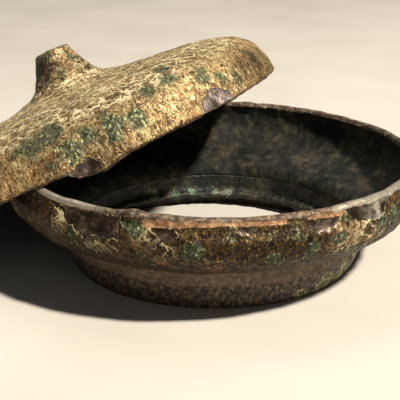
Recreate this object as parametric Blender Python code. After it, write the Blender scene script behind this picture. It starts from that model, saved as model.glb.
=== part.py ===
"""An antique cast bronze inkwell: a low round bowl on a foot ring, and a loose hat-shaped lid.

The bowl is open at the bottom, and a ledge inside the foot ring holds an ink pot. The lid lies off
the bowl: its low edge stands on the table and its hollow underside hangs over the bowl's rim. Metres,
+Z up. The origin is the bottom centre of the whole set's bounding box.
"""

from math import atan2, cos, pi, radians, sin, tan

import bmesh
import bpy
from mathutils import Vector
from mathutils.geometry import interpolate_bezier

MM = 0.001
FIT_GAP = 0.3 * MM  # between pieces that touch

# Bowl
BOWL_HEIGHT = 27.5 * MM
CREST_RADIUS = 50.2 * MM  # radius of the rim's top line
CREST_ROUND = 1.1 * MM
BAND_RADIUS = 51.9 * MM  # lower end of the bevelled band under the crest
BAND_HEIGHT = 2.9 * MM
BELLY_RADIUS = 53.0 * MM  # widest
BELLY_ROUND = 12.4 * MM
BELLY_CENTRE_Z = 24.0 * MM
BELLY_WALL = 3.2 * MM
FLOOR_SLOPE = radians(23.5)
HOLE_RADIUS = 35.2 * MM
HOLE_Z = 9.35 * MM  # lower edge of the hole
HOLE_BEND = 5.0 * MM  # how far out the floor starts to bend down into the hole

# Foot ring
FOOT_OUTER = 37.0 * MM
FOOT_INNER = 35.6 * MM
FOOT_TOP_OUTER = 39.2 * MM
FOOT_TOP_INNER = 35.5 * MM
FOOT_ROUND = 0.5 * MM
LEDGE_RADIUS = 32.6 * MM  # the ledge inside the foot ring
LEDGE_ROOT = 34.5 * MM
LEDGE_BOTTOM = 2.6 * MM
LEDGE_TOP = 4.2 * MM
LEDGE_ROUND = 0.4 * MM

# Lid, in its own frame: z = 0 is the plane of its edge
LID_RADIUS = 53.6 * MM
LID_WALL = 2.0 * MM
SHOULDER_RADIUS = 47.2 * MM
SHOULDER_Z = 11.0 * MM
SADDLE_RADIUS = 14.6 * MM  # where the flat crown turns up into the neck
SADDLE_Z = 16.7 * MM
NECK_RADIUS = 8.1 * MM
NECK_Z = 20.3 * MM

# Knob, on the neck, with a stud that is peened over a washer inside the lid
KNOB_BASE_RADIUS = 7.8 * MM
KNOB_TOP_RADIUS = 5.2 * MM
KNOB_TOP_Z = 27.9 * MM
STUD_RADIUS = 2.0 * MM
STUD_HEAD_RADIUS = 3.5 * MM
STUD_HEAD_HEIGHT = 1.2 * MM
WASHER_RADIUS = 5.4 * MM
WASHER_HEIGHT = 1.2 * MM

# Where the lid leans, from the bowl's axis and the table
LID_PLACE = Vector((-32.13, 21.56, 23.05)) * MM
LID_TILT = radians(25.1)
LID_AZIMUTH = radians(159.2)  # the way it slopes down

SIDES = 56
SMALL_SIDES = 32


def clear_scene():
    for obj in list(bpy.data.objects):
        bpy.data.objects.remove(obj, do_unlink=True)


def metal(name, colour, roughness, metallic=0.7):
    material = bpy.data.materials.new(name)
    material.use_nodes = True
    shader = material.node_tree.nodes["Principled BSDF"]
    shader.inputs["Base Color"].default_value = (*colour, 1.0)
    shader.inputs["Roughness"].default_value = roughness
    shader.inputs["Metallic"].default_value = metallic
    material.diffuse_color = (*colour, 1.0)
    return material


def arc(centre, radius, start, end, steps):
    """Points (radius, height) on an arc, from one angle to the other."""
    angles = [start + (end - start) * i / steps for i in range(steps + 1)]
    return [(centre[0] + radius * cos(a), centre[1] + radius * sin(a)) for a in angles]


def curve(start, handle_1, handle_2, end, steps):
    """Points (radius, height) on a cubic curve."""
    corners = [Vector((p[0], p[1], 0.0)) for p in (start, handle_1, handle_2, end)]
    return [(p.x, p.y) for p in interpolate_bezier(*corners, steps + 1)]


def offset_inwards(points, distance):
    """The same outline moved to the right of its own direction of travel."""
    moved = []
    for i, (r, z) in enumerate(points):
        before = points[max(i - 1, 0)]
        after = points[min(i + 1, len(points) - 1)]
        heading = atan2(after[1] - before[1], after[0] - before[0])
        moved.append((r + distance * sin(heading), z - distance * cos(heading)))
    return moved


def turned(name, outline, sides, material, parent=None):
    """A body of revolution about Z from an outline of (radius, height).

    An outline that starts and ends on the axis gives a solid; any other one is closed on itself.
    """
    mesh = bpy.data.meshes.new(name)
    work = bmesh.new()
    verts = [work.verts.new((r, 0.0, z)) for r, z in outline]
    edges = [work.edges.new(pair) for pair in zip(verts, verts[1:])]
    if outline[0][0] > 0:
        edges.append(work.edges.new((verts[-1], verts[0])))
    bmesh.ops.spin(work, geom=verts + edges, axis=(0, 0, 1), cent=(0, 0, 0),
                   steps=sides, angle=2 * pi, use_merge=True)
    bmesh.ops.remove_doubles(work, verts=work.verts, dist=1e-6)
    bmesh.ops.recalc_face_normals(work, faces=work.faces)
    work.to_mesh(mesh)
    work.free()
    mesh.shade_smooth()
    mesh.set_sharp_from_angle(angle=radians(40))
    mesh.materials.append(material)
    obj = bpy.data.objects.new(name, mesh)
    bpy.context.scene.collection.objects.link(obj)
    obj.parent = parent
    return obj


def group(name, location=(0, 0, 0), rotation=(0, 0, 0), parent=None):
    empty = bpy.data.objects.new(name, None)
    bpy.context.scene.collection.objects.link(empty)
    empty.location = location
    empty.rotation_euler = rotation
    empty.parent = parent
    return empty


def floor_underside(radius):
    """Height of the underside of the sloping floor."""
    return HOLE_Z + (radius - HOLE_RADIUS) * tan(FLOOR_SLOPE)


def bowl_outline():
    belly = (BELLY_RADIUS - BELLY_ROUND, BELLY_CENTRE_Z)
    crest = (CREST_RADIUS, BOWL_HEIGHT - CREST_ROUND)
    band_end = (BAND_RADIUS, BOWL_HEIGHT - BAND_HEIGHT)
    outside = arc(crest, CREST_ROUND, pi, radians(15), 6)
    outside.append(band_end)
    outside += arc(belly, BELLY_ROUND, radians(-6), radians(-86), 11)
    under_end = FOOT_TOP_OUTER + 0.6 * MM
    outside.append((under_end, floor_underside(under_end)))
    inside = arc(belly, BELLY_ROUND - BELLY_WALL, FLOOR_SLOPE - pi / 2, radians(0), 9)
    slope_end = inside[0]
    bend_start = (HOLE_RADIUS + HOLE_BEND,
                  slope_end[1] - (slope_end[0] - HOLE_RADIUS - HOLE_BEND) * tan(FLOOR_SLOPE))
    hole_edge = curve((HOLE_RADIUS, HOLE_Z), (HOLE_RADIUS + 0.1 * MM, HOLE_Z + 2.6 * MM),
                      (bend_start[0] - 2.6 * MM, bend_start[1] - 1.0 * MM), bend_start, 7)
    return outside + hole_edge + inside


def foot_outline():
    top_outer = floor_underside(FOOT_TOP_OUTER) - FIT_GAP / cos(FLOOR_SLOPE)
    top_inner = floor_underside(FOOT_TOP_INNER) - FIT_GAP / cos(FLOOR_SLOPE)
    outer_wall = curve((FOOT_OUTER, FOOT_ROUND), (FOOT_OUTER + 1.4 * MM, 3.4 * MM),
                       (FOOT_TOP_OUTER, 7.0 * MM), (FOOT_TOP_OUTER, top_outer), 6)
    ledge = [(LEDGE_ROOT, LEDGE_TOP + 0.9 * MM), (LEDGE_ROOT - 0.7 * MM, LEDGE_TOP),
             (LEDGE_RADIUS + LEDGE_ROUND, LEDGE_TOP), (LEDGE_RADIUS, LEDGE_TOP - LEDGE_ROUND),
             (LEDGE_RADIUS, LEDGE_BOTTOM + LEDGE_ROUND), (LEDGE_RADIUS + LEDGE_ROUND, LEDGE_BOTTOM),
             (LEDGE_ROOT + 0.4 * MM, LEDGE_BOTTOM)]
    bottom = [(FOOT_INNER, 0.0), (FOOT_OUTER - FOOT_ROUND, 0.0)]
    return [(FOOT_TOP_INNER, top_inner)] + ledge + bottom + outer_wall


def lid_crown():
    """The lid's outer surface, from the neck's top edge to its lower edge."""
    neck = curve((NECK_RADIUS, NECK_Z), (NECK_RADIUS + 1.2 * MM, 18.2 * MM),
                 (SADDLE_RADIUS - 3.3 * MM, SADDLE_Z + 0.8 * MM), (SADDLE_RADIUS, SADDLE_Z), 6)
    crown = curve((SADDLE_RADIUS, SADDLE_Z), (24.5 * MM, 14.5 * MM),
                  (40.0 * MM, 15.0 * MM), (SHOULDER_RADIUS, SHOULDER_Z), 8)
    shoulder = curve((SHOULDER_RADIUS, SHOULDER_Z), (50.7 * MM, 9.0 * MM),
                     (53.5 * MM, 5.6 * MM), (LID_RADIUS, 0.7 * MM), 6)
    return neck + crown[1:] + shoulder[1:]


def lid_outline():
    outer = lid_crown()
    plate_z = NECK_Z - LID_WALL
    inner = [p for p in offset_inwards(outer, LID_WALL)[:-1] if p[1] < plate_z - 0.5 * MM]
    edge = [(LID_RADIUS - 0.3 * MM, 0.0), (LID_RADIUS - LID_WALL + 0.2 * MM, 0.0)]
    stud_hole = STUD_RADIUS + FIT_GAP
    plate = [(WASHER_RADIUS + FIT_GAP, plate_z), (stud_hole, plate_z), (stud_hole, NECK_Z)]
    return plate + outer + edge + list(reversed(inner))


def knob_outline():
    seat = NECK_Z + FIT_GAP
    washer_top = NECK_Z - LID_WALL - FIT_GAP
    head_top = washer_top - WASHER_HEIGHT - FIT_GAP
    head_bottom = head_top - STUD_HEAD_HEIGHT
    top_round = 1.3 * MM
    side = [(0.0, KNOB_TOP_Z)]
    side += arc((KNOB_TOP_RADIUS - top_round, KNOB_TOP_Z - top_round), top_round,
                radians(90), radians(12), 4)
    side += [(KNOB_BASE_RADIUS, seat + 0.5 * MM), (KNOB_BASE_RADIUS - 0.2 * MM, seat)]
    stud = [(STUD_RADIUS, seat), (STUD_RADIUS, head_top), (STUD_HEAD_RADIUS, head_top),
            (STUD_HEAD_RADIUS - 0.5 * MM, head_bottom + 0.3 * MM), (0.0, head_bottom)]
    return side + stud


def washer_outline():
    top = NECK_Z - LID_WALL - FIT_GAP
    bottom = top - WASHER_HEIGHT
    bore = STUD_RADIUS + FIT_GAP
    return [(bore, top), (WASHER_RADIUS, top), (WASHER_RADIUS, bottom), (bore, bottom)]


def make_base(parent):
    bronze = metal("bowl_bronze", (0.20, 0.15, 0.08), 0.55)
    foot_bronze = metal("foot_bronze", (0.16, 0.12, 0.09), 0.65)
    turned("bowl_body", bowl_outline(), SIDES, bronze, parent)
    turned("foot_ring", foot_outline(), SIDES, foot_bronze, parent)


def make_lid(parent):
    lid = group("lid_frame", LID_PLACE, (0.0, LID_TILT, LID_AZIMUTH), parent)
    bronze = metal("lid_bronze", (0.42, 0.32, 0.17), 0.5)
    knob_bronze = metal("knob_bronze", (0.36, 0.28, 0.16), 0.5)
    brass = metal("washer_brass", (0.45, 0.33, 0.14), 0.4)
    turned("lid_shell", lid_outline(), SIDES, bronze, lid)
    turned("lid_knob", knob_outline(), SMALL_SIDES, knob_bronze, lid)
    turned("stud_washer", washer_outline(), SMALL_SIDES, brass, lid)


def centre_on_origin(parent):
    """Puts the bottom centre of everything's bounding box at the world's origin."""
    bpy.context.view_layer.update()
    corners = []
    for obj in bpy.context.scene.objects:
        if obj.type == "MESH":
            corners += [obj.matrix_world @ v.co for v in obj.data.vertices]
    low = Vector([min(c[i] for c in corners) for i in range(3)])
    high = Vector([max(c[i] for c in corners) for i in range(3)])
    middle = (low + high) / 2
    parent.location -= Vector((middle.x, middle.y, low.z))


clear_scene()
inkwell = group("inkwell")
make_base(inkwell)
make_lid(inkwell)
centre_on_origin(inkwell)
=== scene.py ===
"""The looks of an antique cast bronze inkwell: a crusted bowl on a foot ring, and a loose lid.

Every visible piece is a finely turned mesh built round its CAD piece's axis, in millimetres. The
castings are pushed in and out along their normals for lumps, wrinkles, flaked patches, the worn rim
and the chipped lid edge, which also hangs lower at the front. The fields that shape them go to the
materials as point attributes.
"""

import bpy
import numpy as np
from mathutils import Matrix, Vector


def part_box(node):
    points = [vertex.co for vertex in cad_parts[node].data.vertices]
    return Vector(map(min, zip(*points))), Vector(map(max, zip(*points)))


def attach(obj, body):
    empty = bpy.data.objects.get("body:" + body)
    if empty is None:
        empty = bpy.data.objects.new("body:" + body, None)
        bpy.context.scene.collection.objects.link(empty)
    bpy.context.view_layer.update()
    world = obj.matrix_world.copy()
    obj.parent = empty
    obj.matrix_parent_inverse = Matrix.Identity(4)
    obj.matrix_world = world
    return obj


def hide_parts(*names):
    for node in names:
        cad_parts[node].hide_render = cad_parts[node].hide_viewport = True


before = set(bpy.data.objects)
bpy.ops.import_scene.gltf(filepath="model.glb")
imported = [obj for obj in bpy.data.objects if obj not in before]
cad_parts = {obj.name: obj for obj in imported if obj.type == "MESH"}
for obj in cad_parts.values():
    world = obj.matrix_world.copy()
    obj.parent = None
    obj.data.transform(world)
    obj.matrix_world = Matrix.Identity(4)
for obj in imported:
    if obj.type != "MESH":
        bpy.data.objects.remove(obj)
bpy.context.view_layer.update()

MM = 0.001
FIT_GAP = 0.3  # between pieces that touch
LATTICE_SIZE = 4096  # a power of 2
LATTICE = np.random.default_rng(11).uniform(-1.0, 1.0, LATTICE_SIZE)
HASH = np.array([73856093, 19349663, 83492791])
SEED_HASH = 2654435


# ---------------------------------------------------------------- noise and shaping fields

def noise(points, size, seed):
    """Smooth value noise from -1 to 1, with features about `size` mm across."""
    grid = points / size
    cell = np.floor(grid).astype(np.int64)
    part = grid - cell
    part = part * part * (3 - 2 * part)
    total = np.zeros(len(points))
    for corner in np.ndindex(2, 2, 2):
        keys = (cell + corner) * HASH
        index = (keys[:, 0] ^ keys[:, 1] ^ keys[:, 2] ^ (seed * SEED_HASH)) & (LATTICE_SIZE - 1)
        weight = np.prod(np.where(corner, part, 1 - part), axis=1)
        total += weight * LATTICE[index]
    return total


def layered(points, size, seed, layers=3):
    """Several sizes of noise on top of each other."""
    return sum(noise(points, size / 2 ** k, seed + k) / 1.7 ** k for k in range(layers))


def ridged(points, size, seed):
    """Narrow ridges along winding lines, 0 to 1."""
    return (1 - np.abs(noise(points, size, seed))) ** 4


def smooth(low, high, value):
    share = np.clip((value - low) / (high - low), 0, 1)
    return share * share * (3 - 2 * share)


def inside_distance(u, v, corners):
    """Distance in mm from each point (u, v) to a closed outline, positive inside it."""
    nearest = np.full(len(u), 1e9)
    inside = np.zeros(len(u), bool)
    for (u0, v0), (u1, v1) in zip(corners, corners[1:] + corners[:1]):
        du, dv = u1 - u0, v1 - v0
        along = np.clip(((u - u0) * du + (v - v0) * dv) / (du * du + dv * dv), 0, 1)
        nearest = np.minimum(nearest, np.hypot(u - u0 - along * du, v - v0 - along * dv))
        if dv:
            crosses = ((v0 > v) != (v1 > v)) & (u < u0 + du * (v - v0) / dv)
            inside ^= crosses
    return np.where(inside, nearest, -nearest)


def patches(azimuth, height, radius, outlines):
    """The largest inside_distance to a set of outlines, given in degrees and mm round a wall."""
    per_degree = radius * np.pi / 180
    fields = []
    for outline in outlines:
        corners = [(a * per_degree, h) for a, h in outline]
        fields.append(inside_distance(azimuth * per_degree, height, corners))
    return np.max(fields, axis=0)


def spots(points, places):
    """Soft round spots: 1 in the middle of each (azimuth, radius, height, size), 0 at its edge."""
    best = np.zeros(len(points))
    for azimuth, radius, height, size in places:
        turn = np.radians(azimuth)
        centre = np.array([radius * np.cos(turn), radius * np.sin(turn), height])
        best = np.maximum(best, 1 - np.linalg.norm(points - centre, axis=1) / size)
    return best


# ---------------------------------------------------------------- outlines and turned meshes

def arc(centre, radius, start, end):
    """Points (radius, height) on an arc, from one angle to the other in degrees."""
    angles = np.radians(np.linspace(start, end, 40))
    return np.stack([centre[0] + radius * np.cos(angles), centre[1] + radius * np.sin(angles)], 1)


def curve(start, handle_1, handle_2, end):
    """Points (radius, height) on a cubic curve."""
    t = np.linspace(0, 1, 40)[:, None]
    corners = [np.array(p, float) for p in (start, handle_1, handle_2, end)]
    return ((1 - t) ** 3 * corners[0] + 3 * (1 - t) ** 2 * t * corners[1]
            + 3 * (1 - t) * t ** 2 * corners[2] + t ** 3 * corners[3])


def offset_inwards(points, distance):
    """The same outline moved to the right of its own direction of travel."""
    heading = np.gradient(points, axis=0)
    heading /= np.linalg.norm(heading, axis=1)[:, None]
    return points + distance * np.stack([heading[:, 1], -heading[:, 0]], 1)


def evenly(points, spacing):
    """The outline's points again, about `spacing` mm apart."""
    points = np.asarray(points, float)
    travelled = np.concatenate([[0], np.cumsum(np.linalg.norm(np.diff(points, axis=0), axis=1))])
    places = np.linspace(0, travelled[-1], max(2, int(round(travelled[-1] / spacing)) + 1))
    return np.stack([np.interp(places, travelled, points[:, k]) for k in (0, 1)], 1)


def joined(sections):
    """One outline from (label, points, spacing) sections, and each point's label."""
    outline, labels = [], []
    for label, points, spacing in sections:
        fresh = evenly(points, spacing)
        if outline and np.linalg.norm(outline[-1][-1] - fresh[0]) < 0.02:
            fresh = fresh[1:]
        outline.append(fresh)
        labels += [label] * len(fresh)
    return np.concatenate(outline), np.array(labels)


def grid_faces(rings, sides, closed):
    """Quads between the rings of a turned surface."""
    ring, side = np.meshgrid(np.arange(rings if closed else rings - 1), np.arange(sides), indexing="ij")
    after = (ring + 1) % rings
    around = (side + 1) % sides
    corners = [ring * sides + side, after * sides + side, after * sides + around, ring * sides + around]
    return np.stack([c.ravel() for c in corners], 1)


def turned(name, sections, sides, surface, place):
    """A turned casting. surface(points, azimuth, labels) gives how far each point moves out, and
    the fields for the material; a field called sink lowers the points along the axis instead. An
    outline that starts on the axis is closed with a fan at each end."""
    outline, ring_labels = joined(sections)
    solid = outline[0][0] < 1e-6
    if solid:
        outline, ring_labels = outline[1:-1], ring_labels[1:-1]
    rings = len(outline)
    wrapped = np.concatenate([outline[-1:], outline, outline[:1]])
    if solid:
        wrapped = np.concatenate([outline[:1], outline, outline[-1:]])
    heading = wrapped[2:] - wrapped[:-2]
    heading /= np.linalg.norm(heading, axis=1)[:, None]
    normal = np.stack([-heading[:, 1], heading[:, 0]], 1)
    turn = np.linspace(0, 2 * np.pi, sides, endpoint=False)
    around = np.stack([np.cos(turn), np.sin(turn)], 1)

    def spun(flat):
        flat_xy = flat[:, None, 0, None] * around[None]
        flat_z = np.broadcast_to(flat[:, None, 1, None], (rings, sides, 1))
        return np.concatenate([flat_xy, flat_z], 2).reshape(-1, 3)

    points = spun(outline)
    labels = np.repeat(ring_labels, sides)
    azimuth = np.tile(np.degrees(turn), rings)
    out, fields = surface(points, azimuth, labels)
    moved = points + spun(normal) * out[:, None]
    moved[:, 2] -= fields.pop("sink", 0.0)
    faces = grid_faces(rings, sides, not solid)
    mesh = bpy.data.meshes.new(name)
    if solid:
        first = np.arange(sides)
        ends = np.array([[0, 0, moved[:sides, 2].mean()], [0, 0, moved[-sides:, 2].mean()]])
        top, bottom = len(moved), len(moved) + 1
        last = first + (rings - 1) * sides
        caps = [(top, a, b) for a, b in zip(first, np.roll(first, -1))]
        caps += [(bottom, b, a) for a, b in zip(last, np.roll(last, -1))]
        moved = np.concatenate([moved, ends])
        fields = {key: np.concatenate([value, value[:1], value[-1:]]) for key, value in fields.items()}
        mesh.from_pydata((moved * MM).tolist(), [], faces.tolist() + caps)
    else:
        mesh.from_pydata((moved * MM).tolist(), [], faces.tolist())
    mesh.shade_smooth()
    for key, value in fields.items():
        layer = mesh.attributes.new(key, "FLOAT", "POINT")
        layer.data.foreach_set("value", value.astype(np.float32))
    layer = mesh.attributes.new("place", "FLOAT_VECTOR", "POINT")
    layer.data.foreach_set("vector", moved.astype(np.float32).ravel())
    mesh.transform(place)
    obj = bpy.data.objects.new(name, mesh)
    bpy.context.scene.collection.objects.link(obj)
    return obj


# ---------------------------------------------------------------- where the pieces are

def node_points(node):
    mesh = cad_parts[node].data
    flat = np.zeros(len(mesh.vertices) * 3, np.float32)
    mesh.vertices.foreach_get("co", flat)
    return flat.reshape(-1, 3).astype(float)


def bowl_place():
    low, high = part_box("bowl_body")
    return Matrix.Translation(((low.x + high.x) / 2, (low.y + high.y) / 2, 0.0))


def lid_place():
    """The lid's own frame: X downhill, Z along its axis, the origin in the plane of its edge."""
    shell = node_points("lid_shell")
    middle = shell.mean(0)
    up = node_points("lid_knob").mean(0) - middle
    up /= np.linalg.norm(up)
    edge = ((shell - middle) @ up).min()
    down = up * up[2] - np.array([0.0, 0.0, 1.0])
    down /= np.linalg.norm(down)
    axes = Matrix(np.stack([down, np.cross(up, down), up], 1).tolist()).to_4x4()
    return Matrix.Translation(Vector(middle + up * edge)) @ axes


# ---------------------------------------------------------------- bowl

BOWL_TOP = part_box("bowl_body")[1].z / MM
CREST_ROUND = 1.1
CREST = (50.2, BOWL_TOP - CREST_ROUND)
BAND_END = (51.9, BOWL_TOP - 2.9)
BELLY_CENTRE = (40.6, BOWL_TOP - 3.5)
BELLY_ROUND = 12.4
BELLY_WALL = 3.2
BELLY_RADIUS = BELLY_CENTRE[0] + BELLY_ROUND
FLOOR_SLOPE = 23.5
HOLE = (35.2, 9.35)  # lower edge of the opening, as in CAD
HOLE_LIP = (35.0, 8.9)  # soldered down over the foot ring's inner edge
HOLE_BEND = 5.0
UNDER_END = 39.8  # radius where the belly's underside turns into the floor's
FRONT = (212.0, 326.0)  # degrees round the bowl that have placed patches instead of chance ones
RIM_BUMP = 248.2  # azimuths of a lump on the rim and of a break in the copper band
COPPER_BREAK = 287.2

# Where the crust has come off the bowl's wall: (azimuth in degrees, height in mm)
BOWL_FLAKES = [
    [(221.5, 26.6), (225.5, 25.2), (228.3, 24.3), (230.0, 23.3), (232.6, 23.0), (233.2, 21.4),
     (240.0, 21.6), (246.0, 21.9), (245.4, 23.4), (243.8, 24.8), (245.5, 26.6), (236.0, 26.5)],
    [(251.8, 26.2), (253.0, 24.2), (255.6, 22.8), (259.0, 23.2), (258.6, 25.2)],
    [(272.2, 26.0), (273.4, 24.1), (276.0, 24.0), (277.3, 25.6)],
    [(288.4, 25.8), (291.6, 23.0), (294.0, 23.2), (297.2, 23.8), (300.2, 26.3), (294.0, 26.2)],
    [(301.0, 26.6), (301.8, 24.4), (305.4, 23.6), (308.6, 22.8), (312.0, 23.6), (315.0, 25.2),
     (318.0, 27.0)],
]
# Patches of the bowl's crust: (azimuth in degrees, radius, height, size)
BOWL_GREEN = [(248.5, 51.8, 24.8, 3.0), (281.5, 51.7, 18.4, 2.2), (284.5, 51.0, 17.3, 1.8),
              (313.0, 52.9, 21.0, 3.0), (317.5, 52.8, 22.6, 2.6), (291.0, 51.9, 19.2, 3.0),
              (262.0, 52.0, 20.0, 3.5), (298.0, 52.6, 21.0, 2.4), (80.0, 23.0, 6.2, 3.2),
              (120.0, 52.0, 22.0, 8.0), (20.0, 52.0, 19.0, 7.0), (170.0, 51.0, 18.0, 6.0)]
BOWL_GOLD = [(300, 53.0, 21.0, 7.0), (310, 53.0, 19.0, 4.0), (251, 53.0, 22.0, 4.5),
             (255, 52.0, 17.0, 3.0), (228, 52.0, 23.0, 3.5), (140, 52.0, 20.0, 14.0),
             (30, 52.0, 20.0, 16.0), (200, 52.0, 20.0, 10.0)]
BOWL_RUST = [(318, 52.6, 24.5, 3.6), (268, 50.5, 16.0, 5.0), (256, 51.0, 17.0, 3.0)]
BOWL_VEINS = [(308, 53.0, 20.5, 7.5), (300, 52.5, 18.0, 4.0), (251, 52.5, 23.5, 3.0),
              (256, 52.5, 21.0, 3.0), (238, 52.5, 20.5, 4.0), (228, 52.0, 24.0, 3.0),
              (140, 52.0, 20.0, 14.0), (30, 52.0, 20.0, 14.0)]
BOWL_SILVERY = [(312, 52.5, 24.5, 7.0), (322, 51.5, 26.0, 7.0)]
# Spots on the crest at the left and right where the rim is polished and its metal is painted near-white:
# painted highlight where the key light strikes the rim.
BOWL_POLISH_AND_HIGHLIGHT = [(228, 50.2, 27.0, 16.0), (312, 50.2, 27.0, 16.0), (325, 50.2, 27.0, 10.0)]


def floor_underside(radius):
    return HOLE[1] + (radius - HOLE[0]) * np.tan(np.radians(FLOOR_SLOPE))


def bowl_sections():
    slope = np.tan(np.radians(FLOOR_SLOPE))
    under_end = (UNDER_END, floor_underside(UNDER_END))
    inner = arc(BELLY_CENTRE, BELLY_ROUND - BELLY_WALL, FLOOR_SLOPE - 90, 0)
    outer = arc(BELLY_CENTRE, BELLY_ROUND, -6, -86)
    crest = arc(CREST, CREST_ROUND, 180, 15)
    bend_start = (HOLE[0] + HOLE_BEND, inner[0][1] - (inner[0][0] - HOLE[0] - HOLE_BEND) * slope)
    bend = curve(HOLE_LIP, (HOLE[0] + 0.1, HOLE[1] + 2.6), (bend_start[0] - 2.6, bend_start[1] - 1.0),
                 bend_start)
    return [("rim", crest, 0.25), ("rim", [crest[-1], BAND_END], 0.3),
            ("wall", [BAND_END, outer[0]], 0.3), ("wall", outer, 0.36),
            ("under", [outer[-1], under_end], 0.6), ("under", [under_end, HOLE_LIP], 0.5),
            ("floor", bend, 0.35), ("floor", [bend_start, inner[0]], 0.6),
            ("inner", inner, 0.6), ("inner", [inner[-1], crest[0]], 0.35)]


def bowl_surface(points, azimuth, labels):
    height = points[:, 2]
    inner = np.isin(labels, ["inner", "floor"])
    hidden = labels == "under"
    outer = np.isin(labels, ["rim", "wall"])
    placed = patches(azimuth, height, BELLY_RADIUS, BOWL_FLAKES)
    placed = placed + 0.35 * layered(points, 1.6, 5) + 0.3 * layered(points, 0.8, 6)
    chance = layered(points, 8.0, 21) * 5 - 4.2
    in_front = (azimuth > FRONT[0]) & (azimuth < FRONT[1])
    flaked = np.where(in_front, placed, chance)
    flaked = np.where(outer, np.clip(flaked, -2, 2), -2.0)

    top = smooth(BOWL_TOP - 1.5, BOWL_TOP - 0.5, height + 0.35 * noise(points, 2.5, 31))
    copper_low = BOWL_TOP - 2.0 + 0.5 * noise(points, 4.0, 33) - 0.6 * smooth(268, 252, azimuth)
    copper = smooth(0, 0.35, height - copper_low)
    copper = copper * smooth(249.5, 252, azimuth) * smooth(301, 299, azimuth)
    copper *= np.where(np.abs(azimuth - COPPER_BREAK) < 2.6, smooth(26.6, 27.0, height), 1.0)
    copper = np.where(outer, copper, 0.0)

    lumps = 0.16 * layered(points, 9.0, 1)
    wrinkles = 0.10 * layered(points * [1, 1, 0.6], 1.5, 3)
    wrinkles = wrinkles + 0.10 * ridged(points * [1, 1, 0.55], 2.6, 9)
    bare = smooth(-0.25, 0.25, flaked)
    level = points * [1, 1, 0]
    rim_wave = 0.16 * noise(level, 13.0, 41) + 0.10 * noise(level, 4.0, 42)
    bump = 0.55 * np.exp(-((azimuth - RIM_BUMP) / 2.6) ** 2)
    bump = bump * smooth(BOWL_TOP - 2.2, BOWL_TOP - 0.4, height)
    out = lumps + wrinkles * (1 - bare) * (1 - copper) * (1 - 0.7 * top) - 0.2 * bare - 0.1 * copper
    out += top * rim_wave + bump
    creases = 0.22 * layered(points, 4.5, 51) + 0.16 * ridged(points, 5.0, 55)
    creases = creases + 0.08 * layered(points, 1.4, 57, 2)
    creases *= smooth(BOWL_TOP + 0.2, BOWL_TOP - 2.5, height) * smooth(HOLE[1], HOLE[1] + 1.0, height)
    out = np.where(inner, creases + top * rim_wave, out)
    out = np.where(hidden, 0.05 * layered(points, 3.0, 61), out)
    fields = {
        "flaked": flaked,
        "copper": copper,
        "worn": top,
        # Polished crest metal, painted near-white in the material as a highlight.
        "polish_and_highlight": np.clip(spots(points, BOWL_POLISH_AND_HIGHLIGHT) + 0.5 * ridged(points, 3.0, 35) - 0.3, 0, 1),
        "sooty": np.where(inner | hidden, 1 - top, 0.0),
        "gilt_and_crown_light": np.clip(0.7 * spots(points, BOWL_GOLD), 0, 0.42) - 0.14,
        "green": spots(points, BOWL_GREEN) + 0.25 * layered(points, 3.0, 71),
        "silvery": np.clip(spots(points, BOWL_SILVERY), 0, 1),
        "rusty": spots(points, BOWL_RUST) + 0.3 * layered(points, 3.0, 73),
        "crowned": np.clip(spots(points, BOWL_VEINS), 0, 0.65),
        # Darker towards the bottom of the outer wall: painted shade under the belly's curve.
        "grime_and_shade": smooth(19.0, 12.5, height) * ~inner,
    }
    return out, fields


# ---------------------------------------------------------------- foot ring

FOOT_OUTER = 37.0
FOOT_INNER = 35.6
FOOT_TOP_OUTER = 39.2
FOOT_TOP_INNER = 35.5
FOOT_ROUND = 0.5
LEDGE = (33.4, 3.4)  # middle of the rounded edge of the ledge inside the ring
LEDGE_ROUND = 0.8
LEDGE_ROOT = 34.5
LEDGE_FILLET = (LEDGE_ROOT + 0.1, 5.6)
SEAM = (34.85, 8.72)  # a hair below the bowl's lip, so that the two walls run on
FOOT_LIMED = [(80, 33.4, 4.2, 2.6), (86, 33.4, 4.0, 1.6), (98, 33.8, 4.6, 2.0),
              (108, 33.8, 4.6, 3.0), (118, 33.8, 5.0, 3.0)]
FOOT_GREEN = [(312, 37.4, 2.5, 4.5), (322, 37.4, 4.0, 4.0), (300, 37.2, 1.5, 3.0), (334, 38.0, 6.0, 4.0),
              (60, 38.0, 4.0, 6.0), (150, 38.0, 5.0, 7.0)]


def foot_sections():
    gap = FIT_GAP / np.cos(np.radians(FLOOR_SLOPE))
    top_outer = floor_underside(FOOT_TOP_OUTER) - gap
    top_inner = floor_underside(FOOT_TOP_INNER) - gap
    wall = curve((FOOT_OUTER, FOOT_ROUND), (FOOT_OUTER + 1.4, 3.4), (FOOT_TOP_OUTER, 7.0),
                 (FOOT_TOP_OUTER, top_outer))
    corner = arc((FOOT_OUTER - FOOT_ROUND, FOOT_ROUND), FOOT_ROUND, 0, -90)
    ledge = arc(LEDGE, LEDGE_ROUND, -90, -270)
    return [("top", [(FOOT_TOP_INNER, top_inner), (FOOT_TOP_OUTER, top_outer)], 0.8),
            ("wall", wall[::-1], 0.33), ("wall", corner, 0.2),
            ("bottom", [corner[-1], (FOOT_INNER, 0)], 0.6),
            ("inside", [(FOOT_INNER, 0), (LEDGE_ROOT + 0.4, ledge[0][1])], 0.5),
            ("inside", [(LEDGE_ROOT + 0.4, ledge[0][1]), ledge[0]], 0.5), ("inside", ledge, 0.2),
            ("inside", curve(ledge[-1], (33.9, 4.2), (34.4, 4.7), LEDGE_FILLET), 0.35),
            ("inside", [LEDGE_FILLET, SEAM, (FOOT_TOP_INNER, top_inner)], 0.4)]


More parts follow.
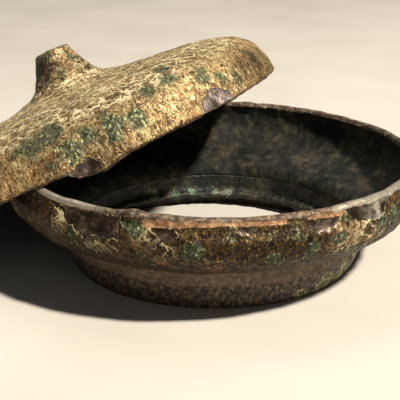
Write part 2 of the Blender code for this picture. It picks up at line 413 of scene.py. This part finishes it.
def foot_surface(points, azimuth, labels):
    height = points[:, 2]
    wall = labels == "wall"
    rough = 0.10 * layered(points, 6.0, 81) + 0.08 * layered(points, 1.7, 83, 2)
    rough += 0.10 * ridged(points, 2.2, 85) * smooth(7.5, 5.5, height)
    inside = labels == "inside"
    radius = np.hypot(points[:, 0], points[:, 1])
    on_ledge = smooth(LEDGE_ROOT - 0.3, LEDGE_ROOT - 1.0, radius) * inside
    ragged = 0.35 * layered(points, 3.0, 93) + 0.2 * ridged(points, 1.8, 95)
    cast = 0.22 * layered(points, 4.5, 51) + 0.1 * layered(points, 1.4, 57, 2)
    out = np.where(wall, rough * smooth(0.2, 1.2, height), 0.0)
    fade = smooth(0.1, 1.5, height) * smooth(8.7, 7.7, height)
    out = np.where(inside, (cast + ragged * on_ledge) * fade, out)
    fields = {
        "dusty": smooth(5.6, 7.0, height + 0.7 * noise(points, 5.0, 87)) * wall,
        "green": spots(points, FOOT_GREEN) + 0.25 * layered(points, 2.2, 91),
        "limed": 0.3 * on_ledge * smooth(3.2, 3.8, height) + spots(points, FOOT_LIMED) * inside,
        "sooty": np.where(inside, 1.0, 0.0),
    }
    return out, fields


# ---------------------------------------------------------------- lid, in its own frame

LID_RADIUS = 53.6
LID_WALL = 2.0
SHOULDER = (47.2, 11.0)
SADDLE = (14.6, 16.7)
NECK = (8.1, 20.3)
PLATE_Z = NECK[1] - LID_WALL
STUD_HOLE = 2.3
LID_GREEN = [(103, 49.8, 9.0, 5.5), (109, 49.5, 9.4, 5.5), (113, 52.3, 5.6, 4.5), (119, 52.0, 6.2, 4.0),
             (125, 52.2, 6.0, 4.0), (131, 52.8, 4.8, 3.2), (138, 49.2, 9.6, 3.4), (145, 49.0, 9.7, 3.6),
             (148, 44.7, 12.0, 3.6), (154, 51.5, 7.2, 3.6), (159, 52.7, 4.9, 3.4), (164, 53.2, 3.4, 2.4),
             (30, 46.0, 11.0, 8.0), (240, 48.0, 10.0, 8.0), (300, 40.0, 13.0, 9.0),
             (200, 30.0, 14.7, 6.0)]
LID_DARK = [(170, 52.7, 4.8, 4.0), (178, 52.7, 4.6, 4.4), (187, 52.8, 4.4, 4.0), (106, 53.2, 3.0, 4.0)]
LID_FLAKES = [
    [(109.6, 0.6), (111.6, 2.4), (115.8, 4.0), (118.4, 2.2), (118.0, -0.5), (111.6, -0.5)],
    [(147.8, -0.5), (148.4, 2.4), (151.6, 4.0), (155.6, 3.9), (158.8, 2.2), (158.4, -0.5)],
]
LID_GOLD = [(98, 50.0, 9.0, 14.0), (190, 50.0, 9.0, 16.0), (156, 53.0, 2.0, 5.0),
            (133, 53.0, 3.5, 9.0), (146, 53.0, 4.0, 12.0), (160, 52.0, 6.0, 9.0),
            (118, 50.0, 8.0, 6.0), (172, 50.0, 8.0, 9.0), (40, 50.0, 8.0, 20.0),
            (250, 50.0, 8.0, 20.0), (330, 46.0, 11.0, 16.0)]
LID_FRONT = (92, 200)  # degrees round the lid that have placed patches instead of chance ones
NOTCH_AZIMUTH = 112.6


def lid_sections():
    neck = curve(NECK, (NECK[0] + 1.2, 18.2), (SADDLE[0] - 3.3, SADDLE[1] + 0.8), SADDLE)
    crown = curve(SADDLE, (24.5, 14.5), (40.0, 15.0), SHOULDER)
    shoulder = curve(SHOULDER, (50.7, 9.0), (53.5, 5.6), (LID_RADIUS, 0.7))
    outer = np.concatenate([neck, crown[1:], shoulder[1:]])
    edge = arc((LID_RADIUS - 0.6, 0.6), 0.6, 0, -90)
    inner = offset_inwards(outer, LID_WALL)
    inner = inner[(inner[:, 1] < PLATE_Z - 0.5) & (inner[:, 1] > 0.4)][::-1]
    edge_in = (inner[0][0] - 0.05, 0.0)
    plate = [inner[-1], (5.9, PLATE_Z), (STUD_HOLE, PLATE_Z)]
    return [("neck", [(STUD_HOLE, PLATE_Z), (STUD_HOLE, NECK[1]), NECK], 1.2), ("neck", neck, 0.5),
            ("crown", crown, 0.5), ("wall", shoulder, 0.4), ("wall", edge, 0.25),
            ("wall", [edge[-1], edge_in], 0.5), ("inside", inner, 1.9), ("inside", plate, 1.2)]


def crust_relief(points):
    """Lumps and wrinkles that run on from the lid to its knob."""
    lumps = 0.20 * layered(points, 11.0, 101) + 0.10 * noise(points, 5.0, 102)
    return lumps, 0.09 * layered(points, 1.5, 103) + 0.11 * ridged(points, 2.4, 109)


def lid_surface(points, azimuth, labels):
    height = points[:, 2]
    radius = np.hypot(points[:, 0], points[:, 1])
    inside = labels == "inside"
    under_knob = (labels == "neck") & (radius < NECK[0] + 0.2)
    placed = patches(azimuth, height, LID_RADIUS, LID_FLAKES) + 0.45 * layered(points, 1.5, 105)
    chance = layered(points, 7.0, 121) * 5 - 5.0
    in_front = (azimuth > LID_FRONT[0]) & (azimuth < LID_FRONT[1])
    flaked = np.where(in_front, np.where(height < 6, placed, -2.0), chance)
    flaked = np.where(inside, -2.0, np.clip(flaked, -2, 2))
    bare = smooth(-0.25, 0.25, flaked)
    lumps, wrinkles = crust_relief(points)
    out = lumps + wrinkles * (1 - bare) - 0.22 * bare
    bent = smooth(109.5, 112.5, azimuth) * (1.1 + 1.5 * smooth(127, 118, azimuth))
    bent = bent * smooth(235, 205, azimuth)
    notch = np.exp(-((azimuth - NOTCH_AZIMUTH) / 1.1) ** 2) * smooth(2.4, 0.2, height)
    out -= 0.8 * notch * ~inside
    out = np.where(inside, 0.08 * layered(points, 6.0, 111), out)
    out = np.where(under_knob, 0.0, out)
    # From 11.5 mm up the lid's crown is painted paler: painted light on the top, added to the gilt
    # spots.
    gilt_and_crown_light = 0.5 + 0.42 * np.clip(spots(points, LID_GOLD), 0, 1) + 0.35 * smooth(11.5, 14.0, height)
    gilt_and_crown_light = gilt_and_crown_light - 0.3 * np.clip(2 * spots(points, LID_DARK), 0, 1)
    fields = {
        "flaked": flaked,
        "copper": notch * ~inside,
        "worn": smooth(0.9, 0.2, height + 0.25 * noise(points, 2.0, 113)) * ~inside,
        "sooty": np.where(inside, 1.0, 0.0),
        "gilt_and_crown_light": gilt_and_crown_light,
        "sink": bent * smooth(7.5, 1.0, height),
        "crowned": smooth(8.0, 12.0, height + noise(points, 6.0, 119)),
        "green": spots(points, LID_GREEN) + 0.22 * layered(points, 3.4, 115),
        "grime_and_shade": np.clip(0.5 * spots(points, LID_DARK) + 0.15 * noise(points, 3.0, 117), 0, 1),
    }
    return out, fields


# ---------------------------------------------------------------- knob and washer, in the lid's frame

KNOB_TOP = 27.9
KNOB_TOP_RADIUS = 5.2
KNOB_ROUND = 1.3
STUD_RADIUS = 2.0
STUD_HEAD_RADIUS = 3.5
STUD_HEAD_HEIGHT = 1.2
STUD_HEAD_ROUND = 0.6
WASHER_RADIUS = 5.4
WASHER_HEIGHT = 1.2
WASHER_ROUND = 0.3
SEAT_Z = NECK[1] + 0.04
SKIRT_TOP = (8.15, 20.4)
SKIRT_END = (9.5, 18.65)  # just under the neck's surface, so that the crust runs over the seam
WASHER_TOP = PLATE_Z - FIT_GAP
KNOB_GREEN = [(105, 5.4, 27.2, 3.0), (160, 6.6, 24.0, 1.6), (300, 6.4, 24.0, 3.0)]
# Painted shade: dark spots on the knob's side that faces away from the key light.
KNOB_PAINTED_SHADE = [(80, 6.6, 24.5, 4.6), (60, 6.6, 24.0, 5.0), (85, 7.4, 21.6, 3.0)]


def knob_sections():
    head_top = WASHER_TOP - WASHER_HEIGHT - FIT_GAP
    head_low = head_top - STUD_HEAD_HEIGHT
    corner = arc((KNOB_TOP_RADIUS - KNOB_ROUND, KNOB_TOP - KNOB_ROUND), KNOB_ROUND, 80, 18)
    side = curve(corner[-1], (6.0, 24.6), (7.0, 22.2), SKIRT_TOP)
    skirt = curve(SKIRT_TOP, (8.5, 19.8), (8.9, 19.3), SKIRT_END)
    head = arc((STUD_HEAD_RADIUS - STUD_HEAD_ROUND, head_low + STUD_HEAD_ROUND), STUD_HEAD_ROUND, 0, -90)
    return [("cap", [(0, KNOB_TOP + 0.1), corner[0]], 0.5), ("cap", corner, 0.25), ("side", side, 0.3),
            ("side", skirt, 0.3),
            ("stud", [SKIRT_END, (NECK[0] - 0.4, SEAT_Z), (STUD_RADIUS, SEAT_Z),
                      (STUD_RADIUS, head_top)], 0.9),
            ("stud", [(STUD_RADIUS, head_top), (STUD_HEAD_RADIUS, head_top), head[0]], 0.4),
            ("stud", head, 0.2), ("stud", [head[-1], (0, head_low - 0.15)], 0.5)]


def knob_surface(points, azimuth, labels):
    height = points[:, 2]
    shown = labels != "stud"
    lumps, wrinkles = crust_relief(points)
    out = np.where(shown, lumps + wrinkles, 0.05 * noise(points, 1.5, 137))
    fields = {
        "flaked": np.where(shown, layered(points, 4.0, 139) * 3 - 3.2, 1.0),
        "copper": np.zeros(len(points)),
        "worn": smooth(KNOB_TOP - 0.9, KNOB_TOP - 0.2, height) * 0.35,
        "sooty": np.where(shown, 0.0, 0.8),
        "gilt_and_crown_light": np.full(len(points), 0.42),
        "crowned": np.full(len(points), 0.4),
        "green": spots(points, KNOB_GREEN) + 0.2 * layered(points, 2.0, 141),
        # The grime colour here paints shade on the knob's side away from the key light.
        "grime_and_shade": np.clip(1.4 * spots(points, KNOB_PAINTED_SHADE), 0, 1),
    }
    return out, fields


def washer_sections():
    bore = STUD_RADIUS + FIT_GAP
    low = WASHER_TOP - WASHER_HEIGHT
    top = arc((WASHER_RADIUS - WASHER_ROUND, WASHER_TOP - WASHER_ROUND), WASHER_ROUND, 90, 0)
    bottom = arc((WASHER_RADIUS - WASHER_ROUND, low + WASHER_ROUND), WASHER_ROUND, 0, -90)
    return [("ring", [(bore, WASHER_TOP), top[0]], 0.5), ("ring", top, 0.15),
            ("ring", [top[-1], bottom[0]], 0.3), ("ring", bottom, 0.15),
            ("ring", [bottom[-1], (bore, low)], 0.5), ("ring", [(bore, low), (bore, WASHER_TOP)], 0.4)]


def washer_surface(points, azimuth, labels):
    return 0.03 * layered(points, 1.2, 151), {"sooty": 0.5 + 0.5 * noise(points, 2.0, 153)}


# ---------------------------------------------------------------- materials

def rgb(red, green, blue):
    """A colour as it looks on a screen, 0 to 255, in the linear values that shaders use."""
    screen = np.array([red, green, blue]) / 255
    linear = np.where(screen <= 0.04045, screen / 12.92, ((screen + 0.055) / 1.055) ** 2.4)
    return (*[float(c) for c in linear], 1.0)


class Wiring:
    """Short calls for the nodes of one material. Places are in mm, in the piece's own turning frame."""

    def __init__(self, name):
        self.material = bpy.data.materials.new(name)
        self.material.use_nodes = True
        self.tree = self.material.node_tree
        self.shader = self.tree.nodes["Principled BSDF"]
        self.place = self.add("ShaderNodeAttribute", attribute_name="place").outputs["Vector"]

    def add(self, kind, **settings):
        node = self.tree.nodes.new(kind)
        for key, value in settings.items():
            setattr(node, key, value)
        return node

    def plug(self, socket, value):
        if isinstance(value, bpy.types.NodeSocket):
            self.tree.links.new(value, socket)
        else:
            socket.default_value = value

    def vector(self, operation, first, second=None, scale=None):
        node = self.add("ShaderNodeVectorMath", operation=operation)
        self.plug(node.inputs[0], first)
        if second is not None:
            self.plug(node.inputs[1], second)
        if scale is not None:
            self.plug(node.inputs["Scale"], scale)
        return node.outputs[0]

    def math(self, operation, first, second=0.0, clamp=False):
        node = self.add("ShaderNodeMath", operation=operation, use_clamp=clamp)
        self.plug(node.inputs[0], first)
        self.plug(node.inputs[1], second)
        return node.outputs[0]

    def field(self, name):
        return self.add("ShaderNodeAttribute", attribute_name=name).outputs["Fac"]

    def noise(self, size, detail=3.0, roughness=0.55, place=None, colour=False):
        node = self.add("ShaderNodeTexNoise")
        self.plug(node.inputs["Vector"], place or self.place)
        node.inputs["Scale"].default_value = 1 / size
        node.inputs["Detail"].default_value = detail
        node.inputs["Roughness"].default_value = roughness
        return node.outputs["Color" if colour else "Fac"]

    def step(self, value, low, high, to_low=0.0, to_high=1.0):
        node = self.add("ShaderNodeMapRange", interpolation_type="SMOOTHSTEP")
        self.plug(node.inputs["Value"], value)
        limits = {"From Min": low, "From Max": high, "To Min": to_low, "To Max": to_high}
        for key, number in limits.items():
            node.inputs[key].default_value = number
        return node.outputs["Result"]

    def mix(self, share, first, second, blend="MIX"):
        node = self.add("ShaderNodeMix", data_type="RGBA", blend_type=blend)
        self.plug(node.inputs["Factor"], share)
        self.plug(node.inputs[6], first)
        self.plug(node.inputs[7], second)
        return node.outputs[2]

    def blend(self, share, first, second):
        node = self.add("ShaderNodeMix", data_type="FLOAT")
        self.plug(node.inputs["Factor"], share)
        self.plug(node.inputs[2], first)
        self.plug(node.inputs[3], second)
        return node.outputs[0]

    def ramp(self, value, stops):
        node = self.add("ShaderNodeValToRGB")
        self.plug(node.inputs["Fac"], value)
        elements = node.color_ramp.elements
        while len(elements) < len(stops):
            elements.new(0.5)
        for element, (place, colour) in zip(elements, stops):
            element.position = place
            element.color = colour
        return node.outputs["Color"]

    def warped(self, size, amount, stretch=(1.0, 1.0, 1.0)):
        """Places pushed about by noise, then squeezed so that patterns stretch along an axis."""
        push = self.vector("SUBTRACT", self.noise(size, 2.0, colour=True), (0.5, 0.5, 0.5))
        moved = self.vector("ADD", self.place, self.vector("SCALE", push, scale=amount * 2))
        return self.vector("MULTIPLY", moved, stretch)

    def wrinkles(self, size, place, sharpness=3.0):
        """Thin winding ridges, 0 to 1."""
        centred = self.math("SUBTRACT", self.noise(size, 2.5, 0.6, place), 0.5)
        valley = self.math("MULTIPLY", self.math("ABSOLUTE", centred), sharpness * 2)
        return self.math("SUBTRACT", 1.0, valley, clamp=True)

    def leather(self):
        """The creased skin of the sooty insides."""
        return self.noise(2.6, 6.0, 0.74, self.warped(3.0, 0.8))

    def soot_colour(self):
        skin = self.ramp(self.leather(), [(0.32, rgb(20, 20, 18)), (0.50, rgb(48, 48, 42)),
                                          (0.66, rgb(88, 86, 72)), (0.76, rgb(132, 126, 104))])
        stain = self.noise(13.0, 5.0, 0.62)
        tint = self.ramp(stain, [(0.36, rgb(70, 72, 74)), (0.50, rgb(176, 174, 166)),
                                 (0.64, rgb(255, 238, 210))])
        return self.mix(1.0, skin, tint, "MULTIPLY")

    def bump(self, height, depth):
        """Relief of `depth` mm for heights from 0 to 1."""
        node = self.add("ShaderNodeBump")
        node.inputs["Strength"].default_value = 1.0
        node.inputs["Distance"].default_value = depth * MM
        self.plug(node.inputs["Height"], height)
        return node.outputs["Normal"]

    def finish(self, colour, roughness, metallic, normal):
        self.plug(self.shader.inputs["Base Color"], colour)
        self.plug(self.shader.inputs["Roughness"], roughness)
        self.plug(self.shader.inputs["Metallic"], metallic)
        self.plug(self.shader.inputs["Normal"], normal)
        return self.material


def crusted_bronze(name, stretch):
    """Old bronze under a crackled crust. The fields say where it is gilt (the lid's crown also painted
    paler, as painted light from above), veined, flaked (its edges partly lined with a painted
    highlight), silvery, coppery, worn, polished (with a painted highlight on the crest), rusty, green,
    grimy, painted in shade, or sooty. One that a piece lacks counts as 0."""
    w = Wiring(name)
    flow = w.warped(3.0, 1.5, stretch)
    fine = w.warped(1.1, 0.35, stretch)
    fleck = w.noise(0.7, 4.0, 0.62, flow)
    ridge = w.wrinkles(1.2, flow, 6.0)
    long_ridge = w.wrinkles(3.2, w.warped(4.0, 1.5), 7.0)
    small_ridge = w.wrinkles(0.7, fine, 3.5)
    region = w.noise(8.0, 3.0, 0.6)
    blotch = w.noise(5.0, 4.0, 0.65, w.vector("ADD", w.place, (37.0, 11.0, 5.0)))
    off_fleck = w.math("SUBTRACT", fleck, 0.5)

    # The gilt field carries the lid crown's painted light, so this tone does too.
    gilt_tone_and_crown_light = w.math("ADD", w.step(region, 0.34, 0.66, -0.2, 0.2), w.field("gilt_and_crown_light"), clamp=True)
    pale = rgb(236, 216, 164)
    dark_crust = w.ramp(fleck, [(0.36, rgb(8, 3, 1)), (0.48, rgb(28, 16, 5)), (0.57, rgb(54, 37, 12)),
                                (0.68, rgb(122, 98, 42))])
    gilt_crust = w.ramp(fleck, [(0.33, rgb(58, 44, 30)), (0.44, rgb(112, 84, 52)),
                                (0.55, rgb(164, 132, 86)), (0.68, pale)])
    crust = w.mix(gilt_tone_and_crown_light, dark_crust, gilt_crust)
    lines = w.math("MULTIPLY", w.step(ridge, 0.60, 0.95), w.step(gilt_tone_and_crown_light, 0.0, 0.8, 0.22, 0.8))
    crust = w.mix(lines, crust, w.mix(gilt_tone_and_crown_light, rgb(150, 124, 70), pale))
    long_lines = w.math("MULTIPLY", w.step(long_ridge, 0.35, 0.8, 0.0, 0.9), w.field("crowned"))
    crust = w.mix(long_lines, crust, rgb(244, 226, 180))
    crust = w.mix(w.step(small_ridge, 0.15, 0.0, 0.0, 0.3), crust, rgb(34, 25, 17))
    drift = w.noise(9.0, 3.0, 0.6, w.vector("ADD", w.place, (5.0, 71.0, 23.0)))
    cool = w.mix(1.0, crust, rgb(206, 214, 200), "MULTIPLY")
    drift = w.math("ADD", drift, w.math("MULTIPLY", off_fleck, 0.4))
    crust = w.mix(w.step(drift, 0.48, 0.62, 0.0, 0.6), crust, cool)
    pink = w.step(w.math("ADD", blotch, w.math("MULTIPLY", off_fleck, 0.5)), 0.54, 0.68, 0.0, 0.6)
    crust = w.mix(pink, crust, w.mix(gilt_tone_and_crown_light, rgb(74, 40, 18), rgb(172, 112, 66)))
    rust = w.step(w.math("ADD", w.field("rusty"), off_fleck), 0.2, 0.8, 0.0, 0.5)
    crust = w.mix(rust, crust, w.mix(w.step(fleck, 0.4, 0.6), rgb(62, 34, 14), rgb(150, 92, 42)))
    verdigris = w.ramp(fleck, [(0.36, rgb(22, 27, 19)), (0.50, rgb(56, 64, 46)),
                               (0.60, rgb(88, 101, 72)), (0.68, rgb(178, 176, 128))])
    spread = w.math("ADD", w.math("MULTIPLY", w.math("SUBTRACT", blotch, 0.5), 2.2), off_fleck)
    greenness = w.step(w.math("ADD", w.field("green"), spread), 0.08, 0.6, 0.0, 0.88)
    crust = w.mix(greenness, crust, verdigris)
    # Dark mud for the lid's real dark patches, also used as painted shade on the knob and on the bowl's
    # underside.
    mud_and_shade = w.ramp(fleck, [(0.36, rgb(18, 14, 12)), (0.60, rgb(60, 48, 38)), (0.70, rgb(120, 102, 76))])
    crust = w.mix(w.math("MULTIPLY", w.field("grime_and_shade"), 0.85), crust, mud_and_shade)

    flake_line = w.math("ADD", w.field("flaked"), w.math("MULTIPLY", off_fleck, 1.1))
    bare = w.step(flake_line, -0.06, 0.10)
    bare_metal = w.ramp(w.noise(2.2, 4.0, 0.6), [(0.32, rgb(28, 22, 17)), (0.5, rgb(52, 41, 32)),
                                                 (0.70, rgb(104, 90, 76))])
    pale_metal = w.ramp(fleck, [(0.36, rgb(112, 92, 84)), (0.52, rgb(164, 146, 144)),
                                (0.66, rgb(232, 216, 196))])
    bare_metal = w.mix(w.step(gilt_tone_and_crown_light, 0.45, 0.9, 0.0, 0.8), bare_metal, pale_metal)
    silvery = w.math("MULTIPLY", w.field("silvery"), w.step(blotch, 0.4, 0.6))
    bare_metal = w.mix(silvery, bare_metal, rgb(178, 172, 154))
    colour = w.mix(bare, crust, bare_metal)
    # Painted highlight: a pale cream line along the edges of the flaked patches, where the broken crust
    # catches the light.
    flake_edge_highlight = w.math("MULTIPLY", w.step(flake_line, -0.28, -0.08), w.step(flake_line, 0.05, -0.04))
    flake_edge_highlight = w.math("MULTIPLY", flake_edge_highlight, w.step(blotch, 0.46, 0.60, 0.05, 0.75))
    colour = w.mix(flake_edge_highlight, colour, rgb(222, 206, 150))

    copper = w.ramp(w.noise(1.2, 4.0, 0.65), [(0.30, rgb(84, 58, 38)), (0.5, rgb(138, 102, 72)),
                                              (0.68, rgb(176, 144, 110))])
    coppery = w.step(w.math("ADD", w.field("copper"), w.math("MULTIPLY", off_fleck, 0.8)), 0.35, 0.6)
    colour = w.mix(coppery, colour, copper)
    worn_metal = w.ramp(w.noise(0.9, 4.0, 0.65), [(0.34, rgb(30, 24, 20)), (0.50, rgb(76, 62, 50)),
                                                  (0.66, rgb(132, 114, 94))])
    polish_and_highlight_share = w.field("polish_and_highlight")
    # Painted highlight: polished rim metal turned near-white cream where the key light strikes the
    # crest.
    worn_metal = w.mix(w.math("MULTIPLY", polish_and_highlight_share, 0.8, clamp=True), worn_metal, rgb(226, 218, 196))
    worn = w.math("ADD", w.field("worn"), w.math("MULTIPLY", off_fleck, 0.7))
    worn = w.step(worn, 0.45, 0.75, 0.0, 0.92)
    colour = w.mix(worn, colour, worn_metal)
    soot = w.field("sooty")
    colour = w.mix(soot, colour, w.soot_colour())

    bare_or_worn = w.math("MAXIMUM", worn, coppery)
    roughness = w.blend(bare, w.step(fleck, 0.35, 0.65, 0.62, 0.40), 0.36)
    roughness = w.blend(bare_or_worn, roughness, w.step(polish_and_highlight_share, 0.2, 0.8, 0.62, 0.32))
    roughness = w.blend(soot, roughness, 0.7)
    metallic = w.blend(bare, 0.45, 0.55)
    metallic = w.blend(bare_or_worn, metallic, w.step(polish_and_highlight_share, 0.1, 0.8, 0.3, 0.8))
    metallic = w.blend(soot, metallic, 0.15)

    relief = w.math("ADD", w.math("MULTIPLY", fleck, 0.9), w.math("MULTIPLY", ridge, 0.35))
    relief = w.math("ADD", relief, w.math("MULTIPLY", small_ridge, 0.2))
    relief = w.blend(bare, w.math("ADD", relief, 0.6), w.math("MULTIPLY", w.noise(1.4, 3.0), 0.2))
    smoothed = w.math("ADD", w.math("MULTIPLY", w.noise(0.8, 3.0), 0.4), 0.4)
    relief = w.blend(bare_or_worn, relief, smoothed)
    relief = w.blend(soot, relief, w.math("MULTIPLY", w.leather(), 2.0))
    w.shader.inputs["Specular IOR Level"].default_value = 0.25
    return w.finish(colour, roughness, metallic, w.bump(relief, 0.2))


def foot_bronze():
    """Dark mottled bronze with a dusty band along its top and pale and green flecks."""
    w = Wiring("foot_dusty_bronze")
    flow = w.warped(2.4, 0.9, (1.0, 1.0, 0.7))
    fleck = w.noise(0.9, 4.0, 0.65, flow)
    mottle = w.noise(3.2, 4.0, 0.6)
    base = w.ramp(fleck, [(0.34, rgb(22, 18, 15)), (0.50, rgb(66, 54, 44)), (0.64, rgb(122, 104, 84))])
    dust = w.ramp(w.noise(1.1, 4.0, 0.6), [(0.3, rgb(70, 56, 46)), (0.52, rgb(108, 90, 74)),
                                           (0.72, rgb(142, 122, 102))])
    off_mottle = w.math("MULTIPLY", w.math("SUBTRACT", mottle, 0.5), 0.6)
    dusty = w.step(w.math("ADD", w.field("dusty"), off_mottle), 0.4, 0.65, 0.0, 0.9)
    colour = w.mix(dusty, base, dust)
    greenness = w.math("ADD", w.field("green"), w.math("MULTIPLY", fleck, 0.4))
    greenness = w.step(greenness, 0.46, 0.66, 0.0, 0.9)
    verdigris = w.ramp(fleck, [(0.38, rgb(40, 54, 34)), (0.54, rgb(120, 120, 66)),
                               (0.66, rgb(214, 200, 150))])
    colour = w.mix(greenness, colour, verdigris)
    soot = w.field("sooty")
    colour = w.mix(soot, colour, w.soot_colour())
    speck = w.math("MULTIPLY", w.math("SUBTRACT", fleck, 0.5), 2.2)
    limed = w.step(w.math("ADD", w.field("limed"), speck), 0.45, 0.9, 0.0, 0.8)
    lime = w.ramp(w.noise(5.0, 3.0), [(0.42, rgb(128, 126, 104)), (0.58, rgb(92, 122, 86)),
                                      (0.70, rgb(150, 152, 126))])
    colour = w.mix(limed, colour, lime)
    roughness = w.blend(dusty, w.step(fleck, 0.3, 0.7, 0.7, 0.42), 0.72)
    relief = w.blend(dusty, w.math("ADD", fleck, w.math("MULTIPLY", w.wrinkles(1.5, flow), 0.4)),
                     w.math("ADD", w.math("MULTIPLY", mottle, 0.4), 0.4))
    return w.finish(colour, roughness, 0.25, w.bump(relief, 0.25))


def washer_brass():
    w = Wiring("washer_aged_brass")
    stain = w.step(w.math("ADD", w.field("sooty"), w.noise(1.2, 4.0)), 0.7, 1.3)
    colour = w.mix(stain, rgb(176, 140, 72), rgb(64, 50, 32))
    return w.finish(colour, w.blend(stain, 0.35, 0.65), 0.85, w.bump(w.noise(0.5, 3.0), 0.08))


def floor_material():
    w = Wiring("pale_floor")
    w.place = w.vector("SCALE", w.add("ShaderNodeTexCoord").outputs["Object"], scale=1 / MM)
    grain = w.noise(60.0, 3.0, 0.5)
    colour = w.ramp(grain, [(0.3, rgb(178, 172, 162)), (0.7, rgb(188, 182, 172))])
    return w.finish(colour, 0.85, 0.0, w.bump(w.noise(2.0, 2.0), 0.01))


# ---------------------------------------------------------------- build

def build_pieces():
    bowl_at, lid_at = bowl_place(), lid_place()
    bowl_look = crusted_bronze("bowl_crusted_bronze", (1.0, 1.0, 0.6))
    lid_look = crusted_bronze("lid_crusted_bronze", (1.0, 1.0, 0.5))
    # name, outline, sides round the axis, surface, place, material, CAD node, body, slot
    pieces = [
        ("bowl", bowl_sections(), 700, bowl_surface, bowl_at, bowl_look,
         "bowl_body", "base", "bowl_bronze"),
        ("foot", foot_sections(), 480, foot_surface, bowl_at, foot_bronze(),
         "foot_ring", "base", "foot_bronze"),
        ("lid", lid_sections(), 640, lid_surface, lid_at, lid_look,
         "lid_shell", "lid", "lid_bronze"),
        ("knob", knob_sections(), 200, knob_surface, lid_at, lid_look,
         "lid_knob", "lid", "knob_bronze"),
        ("washer", washer_sections(), 120, washer_surface, lid_at, washer_brass(),
         "stud_washer", "lid", "washer_brass"),
    ]
    for name, sections, sides, surface, place, look, node, body, slot in pieces:
        piece = turned(name, sections, sides, surface, place)
        piece.data.materials.append(look)
        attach(piece, body)
        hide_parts(node)


FLOOR_HALF = 2.0  # metres
CAMERA_STAND = (-11.3, -230.0, 95.2)  # mm from the bowl's axis at table height
CAMERA_TURN_RIGHT = 1.97  # degrees
CAMERA_LOOK_DOWN = 19.57
CAMERA_LENS = 84.2
LIGHT_AIM_Z = 0.02  # metres
WORLD_STRENGTH = 0.12


def build_stage():
    mesh = bpy.data.meshes.new("floor")
    corners = [(x * FLOOR_HALF, y * FLOOR_HALF, 0) for x, y in ((-1, -1), (1, -1), (1, 1), (-1, 1))]
    mesh.from_pydata(corners, [], [(0, 1, 2, 3)])
    mesh.materials.append(floor_material())
    floor = bpy.data.objects.new("floor", mesh)
    bpy.context.scene.collection.objects.link(floor)


def build_camera():
    data = bpy.data.cameras.new("camera")
    data.lens = CAMERA_LENS
    data.clip_start = 0.01
    camera = bpy.data.objects.new("camera", data)
    camera.location = bowl_place().translation + Vector(CAMERA_STAND) * MM
    camera.rotation_euler = (np.radians(90 - CAMERA_LOOK_DOWN), 0.0, -np.radians(CAMERA_TURN_RIGHT))
    bpy.context.scene.collection.objects.link(camera)
    bpy.context.scene.camera = camera


def area_light(name, azimuth, elevation, distance, size, power, colour):
    """A round lamp that shines at a point just above the origin, from a compass angle (0 = +X,
    -90 = the front) and a height angle. Distance and size are in metres."""
    data = bpy.data.lights.new(name, "AREA")
    data.shape = "DISK"
    data.size = size
    data.energy = power
    data.color = colour
    light = bpy.data.objects.new(name, data)
    turn, rise = np.radians(azimuth), np.radians(elevation)
    aim = Vector((np.cos(turn) * np.cos(rise), np.sin(turn) * np.cos(rise), np.sin(rise)))
    light.location = Vector((0.0, 0.0, LIGHT_AIM_Z)) + aim * distance
    light.rotation_euler = aim.to_track_quat("Z", "Y").to_euler()
    bpy.context.scene.collection.objects.link(light)


def build_lights():
    area_light("key", -40, 50, 1.2, 0.09, 34.0, (1.0, 0.93, 0.82))
    area_light("fill", -110, 35, 1.6, 1.2, 0.8, (0.92, 0.96, 1.0))
    area_light("top", 110, 66, 1.4, 1.0, 7.0, (1.0, 0.97, 0.92))
    world = bpy.data.worlds.new("studio")
    world.use_nodes = True
    background = world.node_tree.nodes["Background"]
    background.inputs["Color"].default_value = rgb(222, 224, 228)
    background.inputs["Strength"].default_value = WORLD_STRENGTH
    bpy.context.scene.world = world
    bpy.context.scene.view_settings.view_transform = "Standard"


build_camera()
build_lights()
build_stage()
build_pieces()
